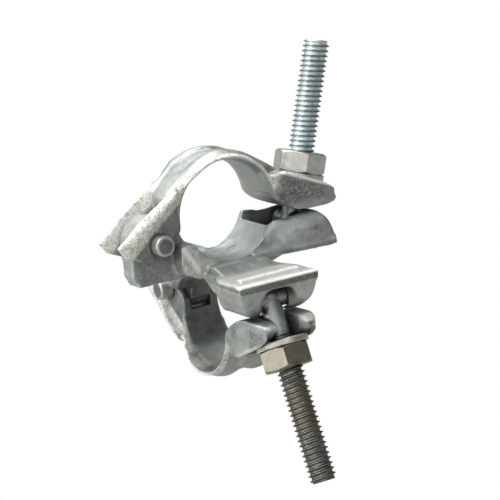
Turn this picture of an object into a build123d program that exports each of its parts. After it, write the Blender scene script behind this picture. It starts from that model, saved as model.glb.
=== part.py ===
"""Right-angle scaffold coupler for two crossing 48.3 mm tubes.

Frame: millimetres, +Z up. The pieces are drawn about the middle of the coupler,
midway between the two tube axes: the upper tube lies along Y at z = +tube_height, the
lower tube along X at z = -tube_height. Only the upper half is drawn; the lower half is
the same half turned 180 degrees about the diagonal (1, -1, 0), which sends (x, y, z) to
(-y, -x, -z). Last, every piece is lifted by tube_height, so the finished part's origin
lies on the lower tube's axis, under the upper tube's.

In the upper half the hinge is on the -X side of the tube and the T-bolt on the +X side.
"""
import os
from math import cos, radians, sin, tan

from build123d import *

os.makedirs("parts", exist_ok=True)

# ------------------------------------------------------- shared dimensions
tube_height = 27.2       # tube axis above the middle of the coupler
tube_r = 24.15           # 48.3 mm tube

pin_x, pin_z = -37.5, 17.6       # hinge rivet axis
rivet_r = 4.6
rivet_seat = 10.4                # underside of the rivet's heads, from the middle
knuckle_r, knuckle_half = 13.2, 5.6

pivot_x, pivot_z = 43.3, 11.5    # T-bolt pivot
lean_upper, lean_lower = 16.3, 21.9      # each bolt's lean from Z, in degrees
turn_upper, turn_lower = 14.5, 30        # each nut's turn about its bolt, in degrees


def on_bolt(dist, lean):
    """Point at a distance from the pivot along a bolt."""
    angle = radians(lean)
    return (pivot_x + dist * sin(angle), 0, pivot_z + dist * cos(angle))


def bolt_plane(dist, lean):
    """Plane square to a bolt at a distance from the pivot."""
    angle = radians(lean)
    return Plane(origin=on_bolt(dist, lean), x_dir=(cos(angle), 0, -sin(angle)),
                 z_dir=(sin(angle), 0, cos(angle)))


def other_half(shape):
    """The same shape on the lower half."""
    return shape.rotate(Axis((0, 0, 0), (1, -1, 0)), 180)


def mirrored(points, flip=(1, -1)):
    """The points' mirror image, in reverse order, to carry on a half outline."""
    return [(u * flip[0], v * flip[1]) for u, v in reversed(points)]


# ---------------------------------------------------------------- the body
saddle_half = 15.0       # half width of the saddle along its tube
plate_half, plate_out = 22.2, 55.5       # half width along Y, outer edge in X
plate_z, plate_t = 0.3, 3.6              # underside and thickness
plate_corner = 1.6
bar_half = 16.5          # half length of the bar under the plate

# (x, z)
saddle_outline = [
    (-28.4, 14.0), (-27.4, 14.7), (-20.9, 15.2), (-15, 24), (15, 24), (22.7, 19.5), (30, 19.5),
    (30, 0.3), (21, -2.6), (-20, -2.6), (-27.0, 1.0), (-28.8, 5.5), (-28.2, 11.5),
]
hinge_arm_outline = [
    (-50.7, 17.0), (-51.2, 2.5), (-47.8, -2.6), (-18, -2.6), (-18, 20), (-30, 24.5), (-38, 28),
]
plate_bevel = [
    (52.6, plate_z - 0.1), (plate_out + 0.1, plate_z + 1.5),
    (plate_out + 2, plate_z - 2), (52.6, plate_z - 2),
]
bar_profile = [
    (43.5, plate_z + 0.6), (44.6, plate_z - 1.5), (47.0, plate_z - 1.5), (48.6, plate_z + 0.6),
]
lobe_side = [
    (22, 18.9), (46.6, 18.9), (50.9, 17.2), (54.2, 13.2), (plate_out, 7.0), (plate_out, 0.8),
    (14, 0.8), (14, 12),
]
# (x, y), the -Y half
plate_plan = [
    (10, -16.5), (27, -18.2), (plate_out - plate_corner, -plate_half),
    (plate_out, -plate_half + plate_corner),
]
lobe_plan = [(10, -15), (22, -15.4), (31, -20.5), (37, -plate_half), (56, -plate_half)]
# (y, z), the -Y half
lobe_end = [
    (-plate_half, 0.8), (-21.9, 5.0), (-20.3, 10.8), (-18.2, 14.6), (-15.4, 17.1),
    (-11.5, 18.5), (-6, 18.8),
]

# cuts
slot_half = 7.4                  # slot between the two lobes
slot_floor, slot_top = 4.0, 30
slot_from, mouth_from, mouth_to = 30, 49.3, 57   # mouth_from: where the slot starts to flare
socket_r, socket_half = 5.68, 12.35
socket_len, socket_angle = 28, 155       # straight run off the socket, degrees from +X
# (y, z), the -Y half
mouth_inner = [
    (-slot_half, slot_top), (-slot_half, 16), (-slot_half, 11), (-slot_half, 7.5),
    (-slot_half + 0.05, slot_floor),
]
mouth_outer = [(-22, slot_top), (-14.2, 14.4), (-9.2, 10.5), (-6.6, 7.6), (-4.0, 6.2)]


def make_half_body():
    """Saddle, plate and hinge arm of the upper half."""
    with BuildPart() as half_body:
        # trough under the tube
        with BuildSketch(Plane.XZ):
            with BuildLine():
                Polyline(*saddle_outline, close=True)
            make_face()
        extrude(amount=saddle_half, both=True)
        # plate that carries the bolt end
        with BuildSketch(Plane.XY.offset(plate_z)):
            with BuildLine():
                Polyline(*plate_plan, *mirrored(plate_plan), close=True)
            make_face()
        extrude(amount=plate_t)
        # bevel under the plate's outer edge
        with BuildSketch(Plane.XZ):
            with BuildLine():
                Polyline(*plate_bevel, close=True)
            make_face()
        extrude(amount=30, both=True, mode=Mode.SUBTRACT)
        # raised bar along the plate's underside, short of the corners
        with BuildSketch(Plane.XZ.offset(-bar_half)):
            with BuildLine():
                Polyline(*bar_profile, close=True)
            make_face()
        extrude(amount=2 * bar_half)
        # hinge arm and knuckle
        with BuildSketch(Plane.XZ):
            with Locations((pin_x, pin_z)):
                Circle(knuckle_r)
            with BuildLine():
                Polyline(*hinge_arm_outline, close=True)
            make_face()
        extrude(amount=knuckle_half, both=True)
    return half_body.part


def make_lobes():
    """The two lobes either side of the bolt, still joined across the slot."""
    with BuildPart() as lobes:
        with BuildSketch(Plane.XZ):
            with BuildLine():
                Polyline(*lobe_side, close=True)
            make_face()
        extrude(amount=plate_half, both=True)
        # outer sides are drafted
        with BuildSketch(Plane.YZ.offset(10)):
            with BuildLine():
                Polyline(*lobe_end, *mirrored(lobe_end, (-1, 1)), close=True)
            make_face()
        extrude(amount=50, mode=Mode.INTERSECT)
        # inner ends draw in to the saddle's width
        with BuildSketch(Plane.XY):
            with BuildLine():
                Polyline(*lobe_plan, *mirrored(lobe_plan), close=True)
            make_face()
        extrude(amount=30, mode=Mode.INTERSECT)
    return lobes.part


def make_half_cuts():
    """Bolt slot, cross-head sockets and rivet bore of the upper half."""
    with BuildPart() as half_cuts:
        with BuildSketch(Plane.XZ):
            with BuildLine():
                Polyline((slot_from, slot_floor), (mouth_from, slot_floor),
                         (mouth_from, slot_top), (slot_from, slot_top), close=True)
            make_face()
        extrude(amount=slot_half, both=True)
        # the slot's mouth flares, and its floor arches up
        for x, outline in ((mouth_from, mouth_inner), (mouth_to, mouth_outer)):
            with BuildSketch(Plane.YZ.offset(x)):
                with BuildLine():
                    Polyline(*outline, *mirrored(outline, (-1, 1)), close=True)
                make_face()
        loft(ruled=True)
        # sockets, run out towards the saddle
        angle = radians(socket_angle)
        reach = socket_len / 2
        with BuildSketch(Plane.XZ):
            with Locations((pivot_x, pivot_z)):
                Circle(socket_r)
                with Locations(Location((reach * cos(angle), reach * sin(angle), 0),
                                        socket_angle)):
                    Rectangle(socket_len, 2 * socket_r)
        extrude(amount=socket_half, both=True)
        with BuildSketch(Plane.XZ):
            with Locations((pin_x, pin_z)):
                Circle(rivet_r)
        extrude(amount=30, both=True)
    return half_cuts.part


def make_coupler_body():
    """Both halves of the body in one solid."""
    half_body = make_half_body()
    lobes = make_lobes()
    cuts = make_half_cuts()
    with BuildPart() as body:
        for shape in (half_body, lobes, other_half(half_body), other_half(lobes)):
            add(shape)
        # seats for the two tubes
        for plane, height in ((Plane.XZ, tube_height), (Plane.YZ, -tube_height)):
            with BuildSketch(plane.offset(-90)):
                with Locations((0, height)):
                    Circle(tube_r)
            extrude(amount=180, mode=Mode.SUBTRACT)
    coupler = body.part - cuts - other_half(cuts)
    return max(coupler.solids(), key=lambda solid: solid.volume)


# --------------------------------------------------------------------- cap
cap_r = 29.6             # crown's outside radius
cap_bore_r = tube_r + 0.02
ear_in = 5.95            # half width of the channel between the ears
ear_bore_r = 4.67

# washer seat: a flat square to a line leaning seat_lean from the pivot
seat_lean, seat_dist = 19.0, 20.7
seat_from_x = 36.6
rim_in = 13.45           # the fork's rims stand outside this
fork_under = 19.4
fork_slot_r, fork_slot_x, fork_slot_run = 7.4, 45.6, 30

# outer face of the hinge flanges: its low end, and its direction in (x, z)
tip_x, tip_z = -59.6, 19.9
flange_dx, flange_dz = 0.7806, 0.6251

flare_x, flare_z = -5, 25        # axis of the second flare at the tube's mouths

# (x, z)
flange_outline = [(tip_x, tip_z), (-46.0, 30.4), (-32.1, 39.9)]
crown_outline = [
    (-32.1, 39.9), (-24.5, 46.1), (-13.5, 53.0), (-1.0, tube_height + cap_r), (11.5, 54.6),
    (21.0, 49.6), (30.0, 43.6), (seat_from_x, 38.9),
]
# from the crown round the fork's nose, under the fork, and back to the flange's tip
under_outline = [
    (seat_from_x, 38.9), (42.7, 36.4), (53.3, 31.9), (60.6, 28.0), (63.4, 25.8), (64.3, 23.6),
    (63.6, 21.2), (61.6, fork_under + 0.4), (57.5, fork_under), (44, fork_under), (39, 20.3),
    (34.5, 21.9), (29.8, 24.5), (26.5, 27.6), (24.9, 31.0), (20, 31.5), (0, 27.2),
    (-23.9, 27.2), (-24.6, 21.5), (-29.6, 16.8), (-30.6, 13.2), (-33.2, 10.2), (-37.7, 9.0),
    (-46.5, 10.4), (-55.8, 14.3), (tip_x, tip_z),
]
# the seat falls away towards the nose, so that the washer swings out over it
seat_nose = [
    (52.7, 29.9), (55, 28.55), (57, 27.25), (59, 25.8), (61, 24.2), (62.5, 22.9), (64.4, 21.1),
]
channel_outline = [
    (-62, 60), (-62, 0), (-18, 0), (-18, 20), (-22.5, 27.4), (-28.6, 27.4), (-29.0, 31.0),
    (-30.2, 35.0), (-30.4, 38.0), (-27.0, 41.6), (-22.5, 45.9), (-17.5, 50.0), (-12, 52.9),
    (-5, 54.9), (4, 55.2), (11, 53.2), (18, 49.9), (24, 46.9), (24, 62),
]
# (x, y), the -Y half
cap_plan = [
    (-60.5, -12.0), (-55, -12.6), (-46, -13.5), (-36, -14.9), (-27, -15.8), (-12, -16.8),
    (2, -17.5), (14, -17.6), (26, -16.7), (36, -15.8), (48, -15.5), (58, -15.2), (63, -13.2),
    (66, -10.5),
]
# (radius, y) about the tube's axis
bore_profile = [
    (0, -40), (cap_bore_r + 8, -40), (cap_bore_r + 2.0, -17.5), (cap_bore_r, -9.6),
]
crown_side_profile = [(30.2, 8.5), (27.4, 15.5), (27.2, 17.5), (27.0, 20), (45, 20), (45, 8.5)]
# (radius, y) about the second flare's axis
flare_profile = [(0, 9.4), (19.2, 9.4), (24.5, 13.4), (24.5, 24), (0, 24)]
# (distance from the middle, height above the flange's outer face)
ear_side_profile = [
    (17.5, -3.6), (12.9, -6.4), (11.6, -9.2), (10.4, -14.6), (9.4, -23.2), (9.2, -37.2),
    (24, -47.2), (24, -3.6),
]


def flange_plane(side):
    """Plane across the flange at its tip: x away from the middle, y out of its face."""
    return Plane(origin=(tip_x, 0, tip_z), x_dir=(0, side, 0),
                 z_dir=(flange_dx * side, 0, flange_dz * side))


def make_crown_sides():
    """What the crown loses on its two sides, where it falls away."""
    with BuildPart() as crown_sides:
        with BuildSketch(Plane.XY.offset(tube_height)):
            for side in (1, -1):
                with BuildLine():
                    Polyline(*[(r, y * side) for r, y in crown_side_profile], close=True)
                make_face()
        revolve(axis=Axis((0, 0, tube_height), (0, 1, 0)))
        with Locations((4, 0, 60)):
            Box(60, 60, 40, mode=Mode.INTERSECT)
    return crown_sides.part


def make_cap():
    crown_sides = make_crown_sides()
    seat_x, _, seat_z = on_bolt(seat_dist, seat_lean)
    seat_from_z = seat_z - tan(radians(seat_lean)) * (seat_from_x - seat_x)

    with BuildPart() as cap:
        with BuildSketch(Plane.XZ):
            with BuildLine():
                Polyline(*flange_outline)
                Spline(*crown_outline, tangents=((1, 0.74), (0.85, -0.55)))
                Polyline(*under_outline)
            make_face()
        extrude(amount=19, both=True)
        # outline seen from above: narrow at the ears, full at the crown, narrow at the fork
        other_side = mirrored(cap_plan)
        with BuildSketch(Plane.XY):
            with BuildLine():
                Spline(*cap_plan)
                Line(cap_plan[-1], other_side[0])
                Spline(*other_side)
                Line(other_side[-1], cap_plan[0])
            make_face()
        extrude(amount=80, mode=Mode.INTERSECT)
        # the tube's place, flared at both mouths
        with BuildSketch(Plane.XY.offset(tube_height)):
            with BuildLine():
                Polyline(*bore_profile, *mirrored(bore_profile), close=True)
            make_face()
        revolve(axis=Axis((0, 0, tube_height), (0, 1, 0)), mode=Mode.SUBTRACT)
        # the flare deepens towards the hinge
        with BuildSketch(Plane.XY.offset(flare_z)):
            for side in (1, -1):
                with BuildLine():
                    Polyline(*[(flare_x + r, y * side) for r, y in flare_profile], close=True)
                make_face()
        revolve(axis=Axis((flare_x, 0, flare_z), (0, 1, 0)), mode=Mode.SUBTRACT)
        # below the flange each ear's outer side draws in
        for side in (1, -1):
            with BuildSketch(flange_plane(side).offset(-8 * side)):
                with BuildLine():
                    Polyline(*ear_side_profile, close=True)
                make_face()
            extrude(amount=52 * side, mode=Mode.SUBTRACT)
        # the flanges' outer faces fall away to either side
        for side in (1, -1):
            low = Vector(tip_x, 11.0 * side, tip_z)
            far = Vector(-31.9, 13.3 * side, 39.7)
            down = far + Vector(flange_dz * 2, 2.4 * side, -flange_dx * 2)
            out = (far - low).cross(down - low) * side
            with BuildSketch(Plane(origin=low, x_dir=far - low, z_dir=out)):
                with Locations((16, 0)):
                    Rectangle(60, 80)
            extrude(amount=30, mode=Mode.SUBTRACT)
        add(crown_sides, mode=Mode.SUBTRACT)
        # sunk seat for the washer between the fork's rims, open at the nose
        with BuildSketch(Plane.XZ):
            with BuildLine():
                Polyline((seat_from_x, 60), (seat_from_x, seat_from_z), (seat_x, seat_z),
                         *seat_nose, (70, 21.1), (70, 60), close=True)
            make_face()
        extrude(amount=rim_in, both=True, mode=Mode.SUBTRACT)
        # flat seats under the rivet heads
        for side in (1, -1):
            with BuildSketch(Plane.XZ.offset(side * (rivet_seat - 0.1))):
                with Locations((pin_x, pin_z)):
                    Circle(5.9)
            extrude(amount=side * 12, mode=Mode.SUBTRACT)
        # channel in the outer face, between the two rims
        with BuildSketch(Plane.XZ):
            with BuildLine():
                Polyline(*channel_outline, close=True)
            make_face()
        extrude(amount=ear_in, both=True, mode=Mode.SUBTRACT)
        # the channel's walls lean outwards, more so away from the tip
        for side in (1, -1):
            for along, wide in ((-6, 8.0), (36, 12.0)):
                with BuildSketch(flange_plane(side).offset(along * side)):
                    with BuildLine():
                        Polyline((ear_in - 0.5, -8.8), (ear_in, -8.8), (wide, 1.0),
                                 (ear_in - 0.5, 1.0), close=True)
                    make_face()
            loft(ruled=True, mode=Mode.SUBTRACT)
            with BuildSketch(flange_plane(side).offset(35.5 * side)):
                with BuildLine():
                    Polyline((ear_in - 0.5, -3.6), (ear_in, -3.6), (11.6, 0.6),
                             (ear_in - 0.5, 0.6), close=True)
                make_face()
            extrude(amount=30 * side, mode=Mode.SUBTRACT)
        # clearance round the body's knuckle
        with BuildSketch(Plane.XZ):
            with Locations((pin_x, pin_z)):
                Circle(knuckle_r + 0.5)
        extrude(amount=ear_in, both=True, mode=Mode.SUBTRACT)
        # fork slot for the bolt, open at the nose
        with BuildSketch(Plane.XY.offset(10)):
            with Locations((fork_slot_x, 0)):
                Circle(fork_slot_r)
            with Locations((fork_slot_x + fork_slot_run / 2, 0)):
                Rectangle(fork_slot_run, 2 * fork_slot_r)
        extrude(amount=50, mode=Mode.SUBTRACT)
        # rivet bore
        with BuildSketch(Plane.XZ):
            with Locations((pin_x, pin_z)):
                Circle(ear_bore_r)
        extrude(amount=30, both=True, mode=Mode.SUBTRACT)
    return max(cap.part.solids(), key=lambda solid: solid.volume)


# ------------------------------------------------------------ hinge rivet
rivet_head_r, rivet_half = 5.1, 17.2
rivet_head_len = rivet_half - rivet_seat


def make_rivet():
    with BuildPart() as rivet:
        # head, shank, head: offset from the middle towards -Y, radius, length
        for start, radius, length in (
            (-rivet_half, rivet_head_r, rivet_head_len),
            (-rivet_half + 1, rivet_r, 2 * rivet_half - 2),
            (rivet_seat, rivet_head_r, rivet_head_len),
        ):
            with BuildSketch(Plane.XZ.offset(start)):
                with Locations((pin_x, pin_z)):
                    Circle(radius)
            extrude(amount=length)
        for end in (0, -1):
            fillet(rivet.edges().filter_by(GeomType.CIRCLE).group_by(Axis.Y)[end], 0.9)
    return rivet.part


# --------------------------------------------------- T-bolt, washer and nut
head_r, head_half = 5.6, 12.2    # cylindrical cross head
head_ball_r = 6.2
shank_r, thread_r = 5.5, 6.7
thread_from, bolt_len = 19.0, 91.0       # from the pivot

washer_r, washer_bore_r, washer_t = 13.0, 7.1, 3.0
washer_at = 21.55                # washer's underside from the pivot, along the bolt

nut_flats, nut_t, nut_bore_r = 23.0, 10.5, 6.75
nut_at = washer_at + washer_t + 0.04
# (radius, height) of the turned blank: 30-degree bevels at both ends
nut_face_r, nut_rim_r, nut_bevel = nut_flats / 2 - 0.2, nut_flats / 2 + 2.2, 1.35
nut_profile = [
    (0, 0), (nut_face_r, 0), (nut_rim_r, nut_bevel), (nut_rim_r, nut_t - nut_bevel),
    (nut_face_r, nut_t), (0, nut_t),
]


def make_bolt(lean):
    with BuildPart() as bolt:
        with BuildSketch(Plane.XZ):
            with Locations((pivot_x, pivot_z)):
                Circle(head_r)
        extrude(amount=head_half, both=True)
        with Locations((pivot_x, 0, pivot_z)):
            Sphere(head_ball_r)
        # the shank runs 2 mm into the thread
        with BuildSketch(bolt_plane(0, lean)):
            Circle(shank_r)
        extrude(amount=thread_from + 2)
        with BuildSketch(bolt_plane(thread_from, lean)):
            Circle(thread_r)
        extrude(amount=bolt_len - thread_from)
        circles = bolt.edges().filter_by(GeomType.CIRCLE)
        chamfer(circles.sort_by_distance(on_bolt(bolt_len, lean))[0], 1.2)
    return bolt.part


def make_washer(lean):
    with BuildPart() as washer:
        with BuildSketch(bolt_plane(washer_at, lean)):
            Circle(washer_r)
            Circle(washer_bore_r, mode=Mode.SUBTRACT)
        extrude(amount=washer_t)
        circles = washer.edges().filter_by(GeomType.CIRCLE)
        fillet(circles.filter_by(lambda edge: edge.radius > washer_r - 1), 0.5)
    return washer.part


def make_nut(lean, turn):
    base = bolt_plane(nut_at, lean)
    with BuildPart() as nut:
        with BuildSketch(base):
            RegularPolygon(nut_flats / 2, 6, major_radius=False, rotation=turn)
        extrude(amount=nut_t)
        # corners turned off
        with BuildSketch(Plane(origin=base.origin, x_dir=base.x_dir, z_dir=(0, -1, 0))):
            with BuildLine():
                Polyline(*nut_profile, close=True)
            make_face()
        revolve(axis=Axis(base.origin, base.z_dir), mode=Mode.INTERSECT)
        with BuildSketch(base.offset(-1)):
            Circle(nut_bore_r)
        extrude(amount=nut_t + 2, mode=Mode.SUBTRACT)
    return nut.part


# ------------------------------------------------------------------ export
def export_piece(piece, name):
    """Lift a piece into the finished part's frame and write it."""
    with BuildPart() as placed:
        add(piece.moved(Location((0, 0, tube_height))))
    placed.part.label = name
    export_step(placed.part, "parts/" + name + ".step")


export_piece(make_coupler_body(), "coupler_body")
cap_piece = make_cap()
rivet_piece = make_rivet()
for half, lean, turn in (("upper", lean_upper, turn_upper), ("lower", lean_lower, turn_lower)):
    for kind, piece in (
        ("cap", cap_piece),
        ("hinge_rivet", rivet_piece),
        ("t_bolt", make_bolt(lean)),
        ("washer", make_washer(lean)),
        ("nut", make_nut(lean, turn)),
    ):
        if half == "lower":
            piece = other_half(piece)
        export_piece(piece, half + "_" + kind)
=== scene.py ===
"""Looks for a right-angle scaffold coupler, built round its CAD pieces.

The coupler has two alike halves back to back, each holding a tube. The upper tube runs
along Y; the lower one runs along X through the origin. Each half has its own frame, in mm:
x from the hinge (negative) to the swing bolt (positive), y along the tube, and z away
from the other half, from the plane between them.
"""
import math
from functools import cached_property, reduce

import bmesh
import bpy
import numpy as np
from mathutils import Matrix, Vector
from mathutils.noise import fractal

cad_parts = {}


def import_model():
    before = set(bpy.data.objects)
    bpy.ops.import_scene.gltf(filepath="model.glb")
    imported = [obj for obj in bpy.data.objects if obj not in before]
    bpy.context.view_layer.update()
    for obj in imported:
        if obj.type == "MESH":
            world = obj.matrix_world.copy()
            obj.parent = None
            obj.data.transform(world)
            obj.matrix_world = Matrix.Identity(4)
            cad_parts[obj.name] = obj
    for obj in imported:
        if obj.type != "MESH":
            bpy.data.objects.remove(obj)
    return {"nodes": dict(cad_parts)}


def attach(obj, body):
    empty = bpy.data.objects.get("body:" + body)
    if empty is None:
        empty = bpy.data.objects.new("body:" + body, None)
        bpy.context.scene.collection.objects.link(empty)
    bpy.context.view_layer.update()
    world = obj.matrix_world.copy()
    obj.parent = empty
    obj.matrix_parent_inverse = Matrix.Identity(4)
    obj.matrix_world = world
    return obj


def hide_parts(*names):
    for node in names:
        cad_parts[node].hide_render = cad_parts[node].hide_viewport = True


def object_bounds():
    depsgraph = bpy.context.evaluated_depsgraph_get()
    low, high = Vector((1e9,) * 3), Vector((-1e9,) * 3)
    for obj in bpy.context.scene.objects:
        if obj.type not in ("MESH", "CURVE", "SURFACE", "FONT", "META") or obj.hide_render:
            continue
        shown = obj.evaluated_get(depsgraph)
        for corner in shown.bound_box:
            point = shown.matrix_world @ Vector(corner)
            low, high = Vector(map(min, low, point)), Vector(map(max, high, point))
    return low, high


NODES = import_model()["nodes"]
cad_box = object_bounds()
VOXEL_SCALE = 1.0

MM = 0.001
HALVES = ("upper", "lower")
# Places in a half's frame, mm
TUBE_Z = 27.2
PIVOT_X, PIVOT_Z = 43.3, 11.5          # swing bolt's pivot
HINGE_X, HINGE_Z = -37.5, 17.6
EAR_X, EAR_Z = -59.6, 19.9             # start of the line along the ears' tops
EAR_COS, EAR_SIN = 0.7806, 0.6251      # direction of that line
MIDPLANE = TUBE_Z * MM                 # height of the plane between the halves, m


def put(obj):
    bpy.context.scene.collection.objects.link(obj)
    return obj


# ------------------------------------------------------------------ shader graphs
class Graph:
    """Writes shader nodes. An input takes a socket, a number or an (r, g, b) colour."""

    def __init__(self, tree):
        self.tree = tree

    @cached_property
    def coords(self):
        return self.new("TexCoord").outputs

    def feed(self, socket, value):
        if isinstance(value, bpy.types.NodeSocket):
            self.tree.links.new(value, socket)
        else:
            socket.default_value = (*value, 1.0) if isinstance(value, tuple) else value

    def new(self, kind, inputs=None, **settings):
        node = self.tree.nodes.new("ShaderNode" + kind)
        for key, value in settings.items():
            setattr(node, key, value)
        for key, value in (inputs or {}).items():
            self.feed(node.inputs[key], value)
        return node

    def noise(self, scale, detail, rough, distortion=0.0):
        return self.new("TexNoise", {
            "Vector": self.coords["Object"], "Scale": scale, "Detail": detail,
            "Roughness": rough, "Distortion": distortion}).outputs["Fac"]

    def ramp(self, factor, stops):
        """Colour ramp through (position, colour) stops."""
        node = self.new("ValToRGB", {"Fac": factor})
        elements = node.color_ramp.elements
        for element, (position, colour) in zip(elements, (stops[0], stops[-1])):
            element.position, element.color = position, (*colour, 1.0)
        for position, colour in stops[1:-1]:
            elements.new(position).color = (*colour, 1.0)
        return node.outputs["Color"]

    def step(self, value, over, to=(0.0, 1.0)):
        """Smooth passage between the two values of to, as value crosses the range over."""
        return self.new("MapRange", {
            "Value": value, "From Min": over[0], "From Max": over[1],
            "To Min": to[0], "To Max": to[1]}, interpolation_type="SMOOTHSTEP").outputs["Result"]

    def math(self, operation, first, second, clamp=False):
        return self.new("Math", {0: first, 1: second},
                        operation=operation, use_clamp=clamp).outputs[0]

    def plus(self, first, second):
        return self.math("ADD", first, second)

    def times(self, first, second, clamp=False):
        return self.math("MULTIPLY", first, second, clamp)

    def mix(self, factor, under, over):
        # inputs 6 and 7, output 2 are the node's colour sockets
        return self.new("Mix", {"Factor": factor, 6: under, 7: over},
                        data_type="RGBA").outputs[2]

    def mix_shader(self, factor, first, second):
        return self.new("MixShader", {0: factor, 1: first, 2: second}).outputs[0]

    def attr(self, name):
        return self.new("Attribute", attribute_name=name).outputs["Fac"]

    def pointiness(self):
        return self.new("NewGeometry").outputs["Pointiness"]

    def bump(self, height, strength, distance, normal=None):
        inputs = {"Strength": strength, "Distance": distance, "Height": height}
        if normal is not None:
            inputs["Normal"] = normal
        return self.new("Bump", inputs).outputs["Normal"]

    def lit_for_camera(self, seen, lighting):
        """One shader for the camera, another for the light that falls on the part."""
        is_camera = self.new("LightPath").outputs["Is Camera Ray"]
        return self.mix_shader(is_camera, lighting, seen)


def new_material(name):
    material = bpy.data.materials.new(name)
    material.use_nodes = True
    material.node_tree.nodes.clear()
    graph = Graph(material.node_tree)
    output = graph.new("OutputMaterial")
    bsdf = graph.new("BsdfPrincipled")
    graph.feed(output.inputs[0], bsdf.outputs[0])
    return material, graph, bsdf


# ------------------------------------------------------------------ materials
def forging_material():
    """Galvanised forging; point attributes place the die skin, flash, rub and painted shade."""
    material, graph, bsdf = new_material("galvanised_forging")
    big = graph.noise(scale=48, detail=3, rough=0.5)
    mid = graph.noise(scale=190, detail=5, rough=0.6, distortion=0.5)
    fine = graph.noise(scale=1300, detail=4, rough=0.65)
    colour = graph.ramp(big, [
        (0.30, (0.300, 0.325, 0.312)),
        (0.50, (0.385, 0.410, 0.392)),
        (0.72, (0.470, 0.492, 0.468))])
    light = graph.step(mid, over=(0.52, 0.70), to=(0.0, 0.55))
    colour = graph.mix(light, colour, over=(0.56, 0.585, 0.56))
    dark = graph.step(mid, over=(0.47, 0.30), to=(0.0, 0.55))
    colour = graph.mix(dark, colour, over=(0.200, 0.222, 0.212))
    # faint warm stains
    patches = graph.step(graph.noise(scale=42, detail=3, rough=0.6), over=(0.54, 0.68))
    stain = graph.times(patches, graph.step(fine, over=(0.42, 0.62)), clamp=True)
    colour = graph.mix(graph.times(stain, 0.35), colour, over=(0.42, 0.33, 0.27))
    # darker, rougher skin left by the die, with light flecks
    dull = graph.attr("dull")
    fleck = graph.step(graph.noise(scale=1150, detail=3, rough=0.8), over=(0.56, 0.66))
    mottle = graph.step(graph.noise(scale=520, detail=4, rough=0.7), over=(0.42, 0.60))
    skin = graph.mix(mottle, under=(0.115, 0.118, 0.112), over=(0.285, 0.29, 0.28))
    colour = graph.mix(dull, colour, graph.mix(fleck, skin, over=(0.66, 0.66, 0.62)))
    # trimmed flash: coarse bright and dark speckle
    flash = graph.attr("flash")
    speckle = graph.plus(
        graph.times(graph.noise(scale=1500, detail=3, rough=0.85), 0.72),
        graph.times(graph.noise(scale=380, detail=2, rough=0.6), 0.28))
    colour = graph.mix(flash, colour, graph.ramp(speckle, [
        (0.395, (0.15, 0.135, 0.105)),
        (0.45, (0.47, 0.46, 0.405)),
        (0.495, (0.83, 0.83, 0.77)),
        (0.58, (0.99, 0.99, 0.94))]))
    # rubbed to bright metal
    rub = graph.attr("rub")
    worn = graph.step(graph.noise(scale=700, detail=3, rough=0.7),
                      over=(0.34, 0.60), to=(0.55, 1.0))
    colour = graph.mix(graph.times(rub, worn, clamp=True), colour, over=(0.86, 0.86, 0.80))
    # edges bright, hollows darker
    point = graph.pointiness()
    edges = graph.step(point, over=(0.515, 0.565), to=(0.0, 0.65))
    colour = graph.mix(edges, colour, over=(0.80, 0.81, 0.77))
    hollows = graph.step(point, over=(0.488, 0.44), to=(0.0, 0.8))
    colour = graph.mix(hollows, colour, over=(0.085, 0.092, 0.090))
    # painted shade: darker where other surfaces are near, by ambient occlusion
    occlusion = graph.new("AmbientOcclusion", {"Distance": 0.014}, samples=6).outputs["AO"]
    open_air = graph.step(occlusion, over=(0.15, 0.80), to=(0.32, 1.0))
    colour = graph.mix(open_air, under=(0.055, 0.062, 0.060), over=colour)
    # painted shade where the shade attribute is set, broken into patches
    patchy = graph.step(mid, over=(0.25, 0.6), to=(1.0, 0.75))
    shade = graph.times(graph.attr("shade"), patchy, clamp=True)
    colour = graph.mix(shade, colour, over=(0.070, 0.077, 0.073))
    graph.feed(bsdf.inputs["Base Color"], colour)
    # flash and rub take away from the base metallic of 0.70
    less_metal = graph.times(graph.math("MAXIMUM", flash, rub), 0.66)
    graph.feed(bsdf.inputs["Metallic"], graph.math("SUBTRACT", 0.70, less_metal))
    # flash and die skin add to the roughness
    rough = graph.plus(graph.step(mid, over=(0.3, 0.7), to=(0.36, 0.54)),
                       graph.step(fine, over=(0.3, 0.7), to=(-0.04, 0.05)))
    rough = graph.plus(rough, graph.times(flash, 0.08))
    rough = graph.plus(rough, graph.times(dull, 0.12))
    graph.feed(bsdf.inputs["Roughness"], rough)
    relief = graph.bump(graph.noise(scale=120, detail=3, rough=0.5),
                        strength=0.55, distance=0.0010)
    relief = graph.bump(fine, strength=0.35, distance=0.00022, normal=relief)
    coarse = graph.math("MAXIMUM", flash, graph.times(dull, 0.7))
    relief = graph.bump(graph.times(speckle, coarse),
                        strength=0.9, distance=0.0011, normal=relief)
    graph.feed(bsdf.inputs["Normal"], relief)
    return material


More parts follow.
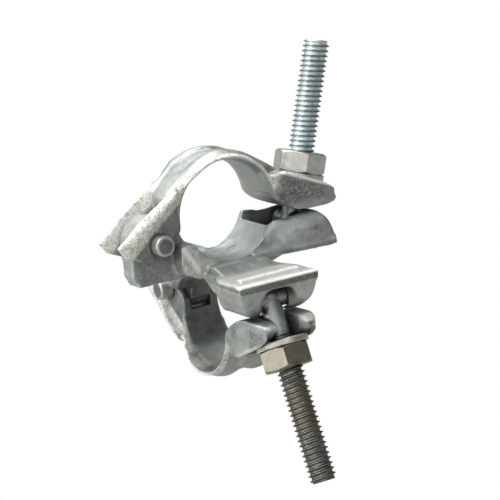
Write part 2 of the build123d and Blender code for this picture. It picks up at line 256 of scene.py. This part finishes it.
def zinc_material(name, dark, base, bright, rough=(0.22, 0.40), thread=False, smear=None):
    """Plated steel. smear is the colour and strength of broad stains."""
    material, graph, bsdf = new_material(name)
    mid = graph.noise(scale=260, detail=5, rough=0.6)
    fine = graph.noise(scale=1800, detail=4, rough=0.6)
    colour = graph.ramp(mid, [(0.30, dark), (0.52, base), (0.74, bright)])
    if thread:
        # brown-grey at the crests; the roots keep a clear zinc
        crest_tint = graph.step(graph.attr("crest"), over=(0.25, 0.85))
        colour = graph.mix(crest_tint, colour, over=(0.185, 0.180, 0.160))
        patches = graph.step(graph.noise(scale=330, detail=4, rough=0.75), over=(0.36, 0.60))
        grime = graph.times(graph.attr("grime"), patches, clamp=True)
        colour = graph.mix(graph.times(grime, 0.8), colour, over=(0.20, 0.165, 0.115))
        # lighter zinc over the plain shank
        colour = graph.mix(graph.attr("light_shank"), colour, over=(0.42, 0.45, 0.43))
    patches = graph.step(graph.noise(scale=420, detail=4, rough=0.7),
                         over=(0.25, 0.55), to=(0.8, 1.0))
    darken = graph.times(graph.attr("darken"), patches, clamp=True)
    if smear:
        smear_colour, strength = smear
        broad = graph.step(graph.noise(scale=75, detail=3, rough=0.55), over=(0.46, 0.60))
        colour = graph.mix(graph.times(broad, strength), colour, smear_colour)
    # bright edges and dark hollows, left off on a thread
    edge_wear, hollow_dark = (0.0, 0.0) if thread else (0.6, 0.7)
    point = graph.pointiness()
    edges = graph.step(point, over=(0.515, 0.57), to=(0.0, edge_wear))
    colour = graph.mix(edges, colour, bright)
    hollows = graph.step(point, over=(0.485, 0.43), to=(0.0, hollow_dark))
    colour = graph.mix(hollows, colour, over=(0.10, 0.11, 0.11))
    # darker in patches by a point attribute: painted shade on the bolts' heads and the lower
    # nut's right faces, and darker middles on the rivets' heads
    colour = graph.mix(darken, colour, over=(0.055, 0.060, 0.057))
    graph.feed(bsdf.inputs["Base Color"], colour)
    graph.feed(bsdf.inputs["Metallic"], 0.88)
    graph.feed(bsdf.inputs["Roughness"], graph.plus(
        graph.step(mid, over=(0.3, 0.7), to=rough),
        graph.step(fine, over=(0.3, 0.7), to=(-0.03, 0.04))))
    relief = graph.bump(mid, strength=0.3, distance=0.0003)
    relief = graph.bump(fine, strength=0.25, distance=0.00012, normal=relief)
    graph.feed(bsdf.inputs["Normal"], relief)
    return material


FORGING = forging_material()
BOLT_ZINC = {
    "upper": zinc_material(
        "zinc_bolt_steel", dark=(0.50, 0.61, 0.65), base=(0.64, 0.76, 0.80),
        bright=(0.86, 0.96, 1.0), thread=True),
    # the lower bolt takes a much darker copy of the zinc: painted shade on the bolt below the
    # coupler
    "lower": zinc_material(
        "zinc_bolt_steel_shaded", dark=(0.085, 0.094, 0.088), base=(0.165, 0.172, 0.155),
        bright=(0.33, 0.355, 0.33), thread=True)}
NUT_ZINC = {
    "lower": zinc_material(
        "zinc_nut_steel_oiled", dark=(0.235, 0.215, 0.175), base=(0.325, 0.295, 0.235),
        bright=(0.45, 0.415, 0.33), rough=(0.30, 0.42), smear=((0.48, 0.40, 0.29), 0.5)),
    "upper": zinc_material(
        "zinc_nut_steel", dark=(0.38, 0.40, 0.38), base=(0.50, 0.515, 0.49),
        bright=(0.66, 0.67, 0.63), rough=(0.32, 0.46), smear=((0.55, 0.50, 0.42), 0.35))}
WASHER_ZINC = zinc_material(
    "zinc_washer_steel", dark=(0.36, 0.365, 0.33), base=(0.54, 0.545, 0.50),
    bright=(0.74, 0.74, 0.68), rough=(0.36, 0.52))
RIVET_STEEL = zinc_material(
    "rivet_steel", dark=(0.34, 0.35, 0.335), base=(0.52, 0.535, 0.515),
    bright=(0.74, 0.75, 0.72), rough=(0.34, 0.5))


# ------------------------------------------------------------------ mesh work
def vectors_of(items, key):
    values = np.empty(len(items) * 3, np.float64)
    items.foreach_get(key, values)
    return values.reshape(-1, 3)


def positions(mesh):
    return vectors_of(mesh.vertices, "co")


def normals(mesh):
    return vectors_of(mesh.vertex_normals, "vector")


def move_to(mesh, points):
    mesh.vertices.foreach_set("co", points.ravel())
    mesh.update()


def voxel_skin(source, name, voxel, smooth):
    """The source mesh as an even skin with its edges eased."""
    obj = put(bpy.data.objects.new("tmp_" + name, source))
    remesh = obj.modifiers.new("r", "REMESH")
    remesh.mode = "VOXEL"
    remesh.voxel_size = voxel * VOXEL_SCALE
    obj.modifiers.new("s", "SMOOTH").iterations = smooth
    bpy.context.view_layer.update()
    depsgraph = bpy.context.evaluated_depsgraph_get()
    mesh = bpy.data.meshes.new_from_object(obj.evaluated_get(depsgraph), depsgraph=depsgraph)
    mesh.name = name
    bpy.data.objects.remove(obj)
    return mesh


def remeshed(node, name, voxel, smooth):
    """A CAD node as a new object with an even skin."""
    mesh = voxel_skin(NODES[node].data.copy(), name, voxel, smooth)
    mesh.materials.clear()
    return put(bpy.data.objects.new(name, mesh))


def fit(obj, material, rides, replaces):
    """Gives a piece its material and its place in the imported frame."""
    obj.data.materials.append(material)
    for polygon in obj.data.polygons:
        polygon.use_smooth = True
    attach(obj, rides)
    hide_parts(replaces)


def turn_to_half(vectors, half):
    x, y, z = vectors.T
    return (-y, -x, -z) if half == "lower" else (x, y, z)


def half_coords(obj, half):
    """x, y and z of the points in a half's frame, mm."""
    return turn_to_half(positions(obj.data) / MM - np.array([0, 0, TUBE_Z]), half)


def half_normals(obj, half):
    return turn_to_half(normals(obj.data), half)


def tube_distance(x, z):
    return np.hypot(x, z - TUBE_Z)


def hinge_distance(x, z):
    return np.hypot(x - HINGE_X, z - HINGE_Z)


def ear_coords(x, z):
    """Distance along the line of the ears' tops, and above it."""
    along = (x - EAR_X) * EAR_COS + (z - EAR_Z) * EAR_SIN
    above = -(x - EAR_X) * EAR_SIN + (z - EAR_Z) * EAR_COS
    return along, above


# Masks run from 0 to 1. Their ranges are mm in a half's frame, or parts of a unit normal.
def rise(value, start, end):
    t = np.clip((value - start) / (end - start), 0, 1)
    return t * t * (3 - 2 * t)


def fall(value, start, end):
    return 1 - rise(value, start, end)


def strongest(*masks):
    return reduce(np.maximum, masks)


def set_attr(obj, name, values):
    layer = obj.data.attributes.new(name, "FLOAT", "POINT")
    layer.data.foreach_set("value", np.asarray(values, np.float32))


def wobble(obj, amount):
    """Slow unevenness of a hammered surface, along the normals."""
    points = positions(obj.data)
    # after the place (90 cycles per m): H, lacunarity, octaves
    waves = np.array([fractal(Vector(point * 90), 1.0, 2.0, 3) for point in points])
    move_to(obj.data, points + normals(obj.data) * (waves * amount)[:, None])


def ease(obj, weight, rounds, step=0.5):
    """Relaxes the skin where weight is high, so that forged shoulders come out round."""
    mesh = obj.data
    edges = np.empty(len(mesh.edges) * 2, np.int64)
    mesh.edges.foreach_get("vertices", edges)
    edges = edges.reshape(-1, 2)
    edges = edges[(weight[edges] > 0.001).any(axis=1)]
    count = len(mesh.vertices)
    start = np.concatenate([edges[:, 0], edges[:, 1]])
    end = np.concatenate([edges[:, 1], edges[:, 0]])
    neighbours = np.maximum(np.bincount(start, minlength=count), 1)[:, None]
    points = positions(mesh)
    share = (weight * step)[:, None]
    for _ in range(rounds):
        sums = [np.bincount(start, weights=points[end, k], minlength=count) for k in range(3)]
        points = points + (np.stack(sums, 1) / neighbours - points) * share
    move_to(mesh, points)


# ------------------------------------------------------------------ body
def ease_body(body):
    weight = 0
    for half in HALVES:
        x, y, z = half_coords(body, half)
        side = np.abs(y)
        # lobes: everything above the plate, away from the bores of the cross head
        lobe = rise(x, 22, 28) * rise(z, 4.4, 6.5) * (z > 0)
        bore = fall(np.hypot(x - PIVOT_X, z - PIVOT_Z), 7.0, 8.4) * (side < 13.2)
        # outside of the saddle, towards the lobes
        saddle = (rise(x, 11, 17) * fall(x, 28, 32) * rise(tube_distance(x, z), 24.8, 26.4)
                  * rise(side, 12.5, 15) * rise(z, 2.5, 4.5))
        # the tooth at the saddle's hinge end, the arm's foot
        tooth = (z > -1) * fall(x, -24, -20) * (hinge_distance(x, z) > 14.5) * 0.6
        weight = strongest(weight, lobe * (1 - bore), saddle, tooth)
    ease(body, weight, rounds=60)
    weight = 0
    for half in HALVES:
        x, y, z = half_coords(body, half)
        camera_side = y if half == "lower" else -y
        shoulder = rise(x, 17, 20) * fall(x, 31, 34) * rise(z, 7, 10)
        weight = strongest(weight, shoulder * rise(camera_side, 11.2, 12.2))
    ease(body, weight, rounds=110, step=0.8)


def paint_body(body):
    layers = dict.fromkeys(("flash", "dull", "rub", "shade"), 0)

    def add(layer, mask):
        layers[layer] = np.maximum(layers[layer], mask)

    for half in HALVES:
        x, y, z = half_coords(body, half)
        out_x, out_y, out_z = half_normals(body, half)
        side, out_side = np.abs(y), np.abs(out_y)
        # the plate's rim, with flash, die skin and painted shade
        rim = rise(x, 53.0, 54.8) * rise(out_x, 0.75, 0.93) * rise(z, 0.2, 0.8)
        rim = rim * fall(z, 3.6, 4.6)
        add("flash", rim * 0.22)
        add("dull", rim)
        add("shade", rim * 0.75)
        heel = rise(x, -23, -20) * fall(x, -13, -8) * rise(z, -4, -2) * fall(z, 5, 8)
        add("rub", heel * rise(out_side, 0.4, 0.7) * 0.42)
        # the plate's thickness, painted shade as a dark line along its sides
        flank = rise(x, 22, 28) * rise(z, -0.2, 0.4) * fall(z, 2.2, 3.4)
        add("shade", flank * rise(out_side, 0.45, 0.75) * 0.6)
        # painted shade inside the arch over the bolt
        add("shade", rise(x, 36, 39) * fall(side, 8.0, 9.6) * fall(x, 54.0, 56.5)
            * rise(z, 3.7, 4.3) * rise(-out_x, -0.55, -0.1))
        # the arm's faces
        add("dull", fall(x, -31, -28) * rise(out_side, 0.6, 0.9) * fall(z, 9, 12) * 0.5)
        if half == "lower":
            # hinge end, in the shadow of the ears
            add("shade", fall(x, -27, -22) * rise(z, -4, 2) * 0.75)
            add("shade", fall(x, -21, -13) * rise(z, 0, 3) * 0.92)
        # bar across the plate's back, with painted shade as a dark line along each foot
        bar = fall(np.abs(x - 45.9), 2.0, 2.6) * (side < 16.8) * fall(z, -0.5, 0.0)
        add("rub", bar * 0.8)
        flat = rise(-out_z, 0.5, 0.8) * (z < 2)
        add("shade", fall(np.abs(x - 49.2), 0.35, 0.9) * (side < 19) * flat * 0.6)
        add("shade", fall(np.abs(x - 42.7), 0.3, 0.8) * (side < 17) * flat * 0.6 * 0.6)
        # the plate's back
        add("rub", rise(x, 27, 34) * rise(-out_z, 0.75, 0.95) * (z < 3) * 0.40)
        # outer faces of the lobes
        face = rise(x, 30, 33) * fall(x, 49, 52) * rise(z, 3.2, 4.6) * fall(z, 11.0, 12.6)
        add("dull", face * rise(out_side, 0.45, 0.8) * 0.38)
        # bevel along the plate's outer edge
        bevel = rise(x, 51.8, 53.0) * rise(-out_z, 0.30, 0.62) * (z < 3) * (z > -3)
        add("rub", bevel * (side < 23) * 0.8)
        add("flash", bevel * 0.4)
        # rough parting line on the tooth
        tooth = (rise(x, -28.5, -26.5) * fall(x, -20.5, -17) * rise(z, -1.5, 1.0)
                 * fall(z, 13, 15) * rise(side, 12.4, 13.8))
        add("flash", tooth * 0.45)
        from_line = np.abs((x + 25.7) * 0.838 + (z - 11.0) * 0.545)
        add("rub", tooth * fall(from_line, 0.5, 1.8))
        add("flash", tooth * fall(from_line, 0.8, 2.6) * 0.8)
    for name, values in layers.items():
        set_attr(body, name, values)


body = remeshed("coupler_body", "forged_body", voxel=0.00055, smooth=5)
ease_body(body)
wobble(body, amount=0.00010)
paint_body(body)
fit(body, FORGING, "coupler", "coupler_body")

# ------------------------------------------------------------------ caps
# Lower edge of the flash on the ears: distance from the midline, height over the ear line
EAR_FLASH_EDGE = ((10.4, -14.6), (11.6, -9.2), (12.9, -6.4), (17.5, -3.6))


def ease_cap(cap, half):
    x, y, z = half_coords(cap, half)
    side = np.abs(y)
    radius = tube_distance(x, z)
    along, above = ear_coords(x, z)
    groove = rise(x, -31, -26) * fall(x, 18, 24) * rise(radius, 26.2, 27.4) * (side < 13.5)
    shoulder = rise(x, 15, 21) * fall(x, 34, 37) * rise(radius, 25.0, 26.2) * 0.9
    nose = rise(x, 56, 59) * 0.5
    knuckle = fall(x, -31, -26) * (side < 9.6) * rise(hinge_distance(x, z), 14.6, 15.6) * 0.35
    # where the ears' tops run out into the crown
    runout = rise(along, 26, 33) * fall(along, 50, 56) * rise(above, -9, -6)
    runout = runout * rise(radius, 25.6, 26.6)
    ears = fall(along, 50, 56) * rise(side, 10.2, 11.0) * 0.5
    weight = strongest(groove, shoulder, nose, knuckle, runout, ears)
    ease(cap, weight, rounds=36)
    # a second pass, where the ears meet the crown
    x, y, z = half_coords(cap, half)
    along, above = ear_coords(x, z)
    weight = (rise(along, 34, 39) * fall(along, 49, 55) * rise(tube_distance(x, z), 25.4, 26.4)
              * rise(np.abs(y), 8.0, 9.5))
    ease(cap, weight, rounds=60, step=0.8)


def paint_cap(cap, half):
    upper = half == "upper"
    x, y, z = half_coords(cap, half)
    out_x, out_y, out_z = half_normals(cap, half)
    side, out_side = np.abs(y), np.abs(out_y)
    radius = tube_distance(x, z)
    along, above = ear_coords(x, z)
    # trimmed flash on the ears, their tops and the crown
    over_edge = above - np.interp(side, *zip(*EAR_FLASH_EDGE))
    ear = (fall(along, 50, 56) * np.maximum(rise(over_edge, 0.1, 0.7), rise(above, -10.4, -8.6))
           * rise(side, 9.6, 10.2) * rise(out_side, 0.15, 0.4))
    tops = fall(along, 34, 44) * rise(above, -8.5, -6.5) * rise(side, 5.5, 5.8)
    # on the lower cap the flash is dimmed, as painted shade
    ear = np.maximum(ear, tops * 0.75) * (1.0 if upper else 0.8)
    crown = (rise(along, 42, 52) * fall(x, 26, 32) * rise(z, 30, 36) * rise(side, 13.6, 14.6)
             * rise(radius, 25.6, 26.4))
    flash = np.maximum(ear, crown * 0.9)
    # light rim along the top of the fork
    rim_z = 38.9 - (x - 36.6) * 0.418
    rim = rise(x, 20, 30) * rise(z, rim_z - 2.2, rim_z - 0.8) * rise(side, 12.6, 13.3)
    # painted shade below the ears, and where they flare from the tube
    below = fall(above, -10.8, -9.4) * fall(along, 44, 50) * rise(out_side, 0.4, 0.7)
    flare = rise(side, 9.8, 11.5) * fall(radius, 25.4, 26.2) * (z > 22) * (x < 20)
    shade = np.maximum(below * (side > 8.5) * 0.75, flare * 0.6)
    if upper:
        # dull skin on the fork's cheeks, fading towards the nose
        cheek = rise(x, 22, 30) * fall(x, 52, 60) * rise(z, 21.5, 25.5)
        dull = cheek * rise(out_side, 0.72, 0.92) * (1 - rim) * 0.85
    else:
        dull = rise(x, 46, 50) * fall(x, 58, 61) * rise(z, 22, 24) * rise(out_side, 0.6, 0.9)
        dull = dull * 0.8
        # sheared end of the fork's -y prong, with painted shade for a dimple
        tip = rise(x, 55.5, 58.5) * (y < -6)
        points = np.stack((x, y, z), 1)
        centre = points[(x > 60) & (y < -6)].mean(axis=0)
        dimple = fall(np.linalg.norm(points - centre, axis=1), 1.2, 2.0) * tip
        flash = np.maximum(flash, tip * 0.45)
        # painted shade in the hollows at the hinge end
        between_ears = (fall(x, -23, -17) * fall(side, 9.8, 10.6) * rise(above, -30, -12)
                        * fall(above, -8.5, -6.5))
        inside = fall(x, -22, -16) * fall(radius, 25.2, 26.2)
        facing_bolt = fall(x, -20, -14) * rise(out_x, 0.1, 0.5)
        hollow = strongest(between_ears, inside, facing_bolt)
        # painted shade on the side between the crown and the fork
        flank = rise(x, 2, 12) * fall(x, 33, 41) * rise(out_side, 0.3, 0.6) * rise(side, 9, 11)
        shade = strongest(shade, flank * 0.48, hollow * 0.8, dimple)
    set_attr(cap, "flash", np.maximum(flash, rim * 0.35))
    set_attr(cap, "dull", dull)
    set_attr(cap, "shade", shade)
    set_attr(cap, "rub", np.maximum(rim * (0.85 if upper else 0.2), flash * 0.15))


def build_cap(half):
    cap = remeshed(half + "_cap", half + "_cap_forging", voxel=0.00050, smooth=4)
    ease_cap(cap, half)
    wobble(cap, amount=0.00008)
    paint_cap(cap, half)
    fit(cap, FORGING, half + "_cap", half + "_cap")


# ------------------------------------------------------------------ rivets, washers, nuts
def build_rivet(half):
    rivet = remeshed(half + "_hinge_rivet", half + "_rivet_pin", voxel=0.00025, smooth=4)
    x, y, z = half_coords(rivet, half)
    # darker over the middle of the rivet's head
    set_attr(rivet, "darken", fall(hinge_distance(x, z), 3.3, 4.2) * 0.75)
    fit(rivet, RIVET_STEEL, "coupler", half + "_hinge_rivet")


def build_washer(half):
    washer = remeshed(half + "_washer", half + "_washer_ring", voxel=0.00028, smooth=3)
    fit(washer, WASHER_ZINC, half + "_washer", half + "_washer")


def build_nut(half):
    nut = remeshed(half + "_nut", half + "_nut_hexagon", voxel=0.00020, smooth=2)
    if half == "lower":
        # painted shade on the faces turned to +X and -Y, the camera's right, away from the lights
        facing = normals(nut.data) @ np.array([0.876, -0.482, 0.0])
        set_attr(nut, "darken", rise(facing, 0.2, 0.42) * 0.6)
    fit(nut, NUT_ZINC[half], half + "_nut", half + "_nut")


for half in HALVES:
    build_cap(half)
    build_rivet(half)
    build_washer(half)
    build_nut(half)

# ------------------------------------------------------------------ swing bolts
# A bolt's own frame, mm: z along the bolt from the pivot
PITCH, CREST_R, ROOT_R, SHANK_R = 2.5, 6.62, 5.35, 5.45
THREAD_START, THREAD_END = 19.0, 91.0
THREAD_SIDES = 72
ROWS_PER_TURN = 10
TIP_R, TIP_LENGTH, TIP_SLOPE = ROOT_R - 0.25, 9, 1.05
CROSS_R, CROSS_LENGTH, BALL_R = 5.35, 20.4, 5.9
SHANK_SINK = 0.6              # how far the shank starts below the pivot
# lean in degrees, z range where the painted shade by the head fades, strengths of that shade and
# of the lighter shank
BOLTS = {"upper": (16.3, (8, 17), 0.85, 0.0), "lower": (21.9, (4, 12), 0.28, 0.75)}


def thread_radius(z, angle):
    phase = (z / PITCH - angle / (2 * math.pi)) % 1.0
    from_crest = np.abs(phase - 0.5) * 2          # 0 at the crest, 1 at the root
    return ROOT_R + (CREST_R - ROOT_R) * fall(from_crest, 0.06, 0.62)


def thread_mesh(name):
    """Thread as a real helix, running out into the plain shank and the turned tip."""
    sides = THREAD_SIDES
    levels = np.arange(THREAD_START - 3.0, THREAD_END + 1e-6, PITCH / ROWS_PER_TURN)
    levels = np.append(levels, THREAD_END)
    z, angle = np.meshgrid(levels, np.arange(sides) * 2 * math.pi / sides, indexing="ij")
    threaded = rise(z, THREAD_START - 1.2, THREAD_START + 1.6)
    radius = SHANK_R * (1 - threaded) + thread_radius(z, angle) * threaded
    radius = np.minimum(radius, TIP_R + np.clip(THREAD_END - z, 0, TIP_LENGTH) * TIP_SLOPE)
    grid = np.stack([radius * np.cos(angle), radius * np.sin(angle), z], -1).reshape(-1, 3)
    verts = np.vstack([grid, [[0, 0, levels[0]]], [[0, 0, THREAD_END]]])
    faces = []
    for i in range(len(levels) - 1):
        for j in range(sides):
            here = i * sides + j
            beside = i * sides + (j + 1) % sides
            faces.append((here, beside, beside + sides, here + sides))
    # a fan of triangles closes each end
    centre = len(grid)
    last = centre - sides
    for j in range(sides):
        following = (j + 1) % sides
        faces.append((centre, following, j))
        faces.append((centre + 1, last + j, last + following))
    mesh = bpy.data.meshes.new(name)
    mesh.from_pydata(verts.tolist(), [], faces)
    return mesh


def head_mesh(name):
    """Cross head, ball and plain shank, blended as one forging."""
    bm = bmesh.new()
    bmesh.ops.create_cone(bm, cap_ends=True, segments=64, radius1=CROSS_R, radius2=CROSS_R,
                          depth=CROSS_LENGTH, matrix=Matrix.Rotation(math.radians(90), 4, "X"))
    bmesh.ops.create_uvsphere(bm, u_segments=48, v_segments=32, radius=BALL_R)
    middle = Matrix.Translation((0, 0, THREAD_START / 2 - SHANK_SINK))
    bmesh.ops.create_cone(bm, cap_ends=True, segments=64, radius1=SHANK_R, radius2=SHANK_R,
                          depth=THREAD_START, matrix=middle)
    raw = bpy.data.meshes.new(name + "_raw")
    bm.to_mesh(raw)
    bm.free()
    return voxel_skin(raw, name, voxel=0.35, smooth=3)


def bolt_to_part(half, lean):
    """Matrix from a bolt's own frame to the part's frame in metres."""
    angle = math.radians(lean)
    cos, sin = math.cos(angle), math.sin(angle)
    matrix = Matrix(((cos, 0, sin, PIVOT_X), (0, 1, 0, 0), (-sin, 0, cos, PIVOT_Z), (0, 0, 0, 1)))
    if half == "lower":
        matrix = Matrix(((0, -1, 0, 0), (-1, 0, 0, 0), (0, 0, -1, 0), (0, 0, 0, 1))) @ matrix
    return Matrix.Translation((0, 0, MIDPLANE)) @ Matrix.Scale(MM, 4) @ matrix


def build_bolt(half):
    lean, darken_range, darken, light_shank = BOLTS[half]
    matrix = bolt_to_part(half, lean)
    bm = bmesh.new()
    bm.from_mesh(head_mesh(half + "_head"))
    bm.from_mesh(thread_mesh(half + "_thread"))
    mesh = bpy.data.meshes.new(half + "_swing_bolt")
    bm.to_mesh(mesh)
    bm.free()
    mesh.transform(matrix)
    bolt = put(bpy.data.objects.new(half + "_swing_bolt", mesh))
    inverse = matrix.inverted()
    x, y, z = np.array([inverse @ vertex.co for vertex in mesh.vertices]).T
    crest = rise(np.hypot(x, y), ROOT_R + 0.25, CREST_R - 0.15)
    set_attr(bolt, "crest", np.where(z > THREAD_START + 0.5, crest, 0.0))
    # painted shade by the head, which sits in the dark arch
    set_attr(bolt, "darken", fall(z, *darken_range) * darken)
    # the lower bolt's plain shank is kept lighter than its thread
    set_attr(bolt, "light_shank", fall(z, 16.5, 19.5) * light_shank)
    grime = rise(z, 40, 47) * fall(z, 62, 74) if half == "lower" else 0.25 * rise(z, 40, 60)
    set_attr(bolt, "grime", grime)
    fit(bolt, BOLT_ZINC[half], half + "_bolt", half + "_t_bolt")


for half in HALVES:
    build_bolt(half)

# ------------------------------------------------------------------ studio
AZIMUTH, ELEVATION, ROLL = (math.radians(angle) for angle in (-28.824, 13.275, 6.4625))
CAMERA_DISTANCE = 1.0366
LENS = 151.501992             # focal length, mm
SHIFT_X, SHIFT_Y = 0.06048, 0.02174
FLOOR_HALF, FLOOR_GAP = 9, 0.0005
ROOM_DIM, ROOM_BRIGHT = 0.16, 1.30
# name, place from the target (right, up, back to the camera) in m, size in m, watts
LIGHTS = (
    ("key", (-0.45, 0.55, 0.30), (0.42, 0.42), 3.5),
    ("top", (-0.1, 0.85, -0.2), (0.5, 0.5), 3.7),
    ("side", (-0.9, -0.12, 0.35), (0.35, 0.6), 1.75),
)

target = Vector((0, 0, MIDPLANE))
# the camera's axes before its roll
back = Vector((math.sin(AZIMUTH) * math.cos(ELEVATION),
               -math.cos(AZIMUTH) * math.cos(ELEVATION), math.sin(ELEVATION)))
right = Vector((math.cos(AZIMUTH), math.sin(AZIMUTH), 0))
up = back.cross(right)


def build_floor():
    """White to the camera, grey to the light, and clear from underneath."""
    z, reach = cad_box[0][2] - FLOOR_GAP, FLOOR_HALF
    corners = [(-reach, -reach, z), (reach, -reach, z), (reach, reach, z), (-reach, reach, z)]
    mesh = bpy.data.meshes.new("studio_floor")
    mesh.from_pydata(corners, [], [(0, 1, 2, 3)])
    floor = put(bpy.data.objects.new("studio_floor", mesh))
    material, graph, bsdf = new_material("pale_floor")
    graph.feed(bsdf.inputs["Base Color"], (0.42, 0.42, 0.41))
    graph.feed(bsdf.inputs["Roughness"], 0.95)
    glow = graph.new("Emission", {"Color": (1, 1, 1), "Strength": 1.0}).outputs[0]
    above = graph.lit_for_camera(seen=glow, lighting=bsdf.outputs[0])
    clear = graph.new("BsdfTransparent").outputs[0]
    shader = graph.mix_shader(graph.new("NewGeometry").outputs["Backfacing"], above, clear)
    graph.feed(graph.tree.nodes["Material Output"].inputs[0], shader)
    mesh.materials.append(material)


def build_world():
    """White to the camera; lights from up and left of it, dim to the right and low down."""
    world = bpy.data.worlds.new("studio")
    bpy.context.scene.world = world
    world.use_nodes = True
    graph = Graph(world.node_tree)
    white = graph.tree.nodes["Background"]
    graph.feed(white.inputs[0], (1, 1, 1))
    graph.feed(white.inputs[1], 1.0)
    brightest = (right * -0.62 + up * 0.60 + back * 0.50).normalized()
    dot = graph.new("VectorMath", {0: graph.coords["Generated"]}, operation="DOT_PRODUCT")
    dot.inputs[1].default_value = brightest
    towards = dot.outputs["Value"]
    strength = graph.step(towards, over=(-0.35, 0.95), to=(ROOM_DIM, ROOM_BRIGHT))
    tint = graph.mix(graph.step(towards, over=(-0.3, 0.9)),
                     under=(0.97, 1.0, 0.99), over=(1.0, 1.0, 0.985))
    room = graph.new("Background", {0: tint, 1: strength}).outputs[0]
    shader = graph.lit_for_camera(seen=white.outputs[0], lighting=room)
    graph.feed(graph.tree.nodes["World Output"].inputs[0], shader)


def build_light(name, place, size, power):
    light = bpy.data.lights.new(name, "AREA")
    light.shape = "RECTANGLE"
    light.size, light.size_y = size
    light.energy = power
    obj = put(bpy.data.objects.new(name, light))
    obj.location = target + (right * place[0] + up * place[1] + back * place[2])
    obj.rotation_euler = (target - obj.location).to_track_quat("-Z", "Y").to_euler()


def build_camera():
    data = bpy.data.cameras.new("camera")
    camera = put(bpy.data.objects.new("camera", data))
    cos, sin = math.cos(ROLL), math.sin(ROLL)
    axes = Matrix((right * cos - up * sin, right * sin + up * cos, back)).transposed()
    camera.matrix_world = Matrix.Translation(target + back * CAMERA_DISTANCE) @ axes.to_4x4()
    data.sensor_width = 36.0
    data.lens = LENS
    data.shift_x, data.shift_y = SHIFT_X, SHIFT_Y
    data.clip_start, data.clip_end = 0.01, 50
    bpy.context.scene.camera = camera


build_floor()
build_world()
for light in LIGHTS:
    build_light(*light)
build_camera()
bpy.context.scene.view_settings.view_transform = "Standard"
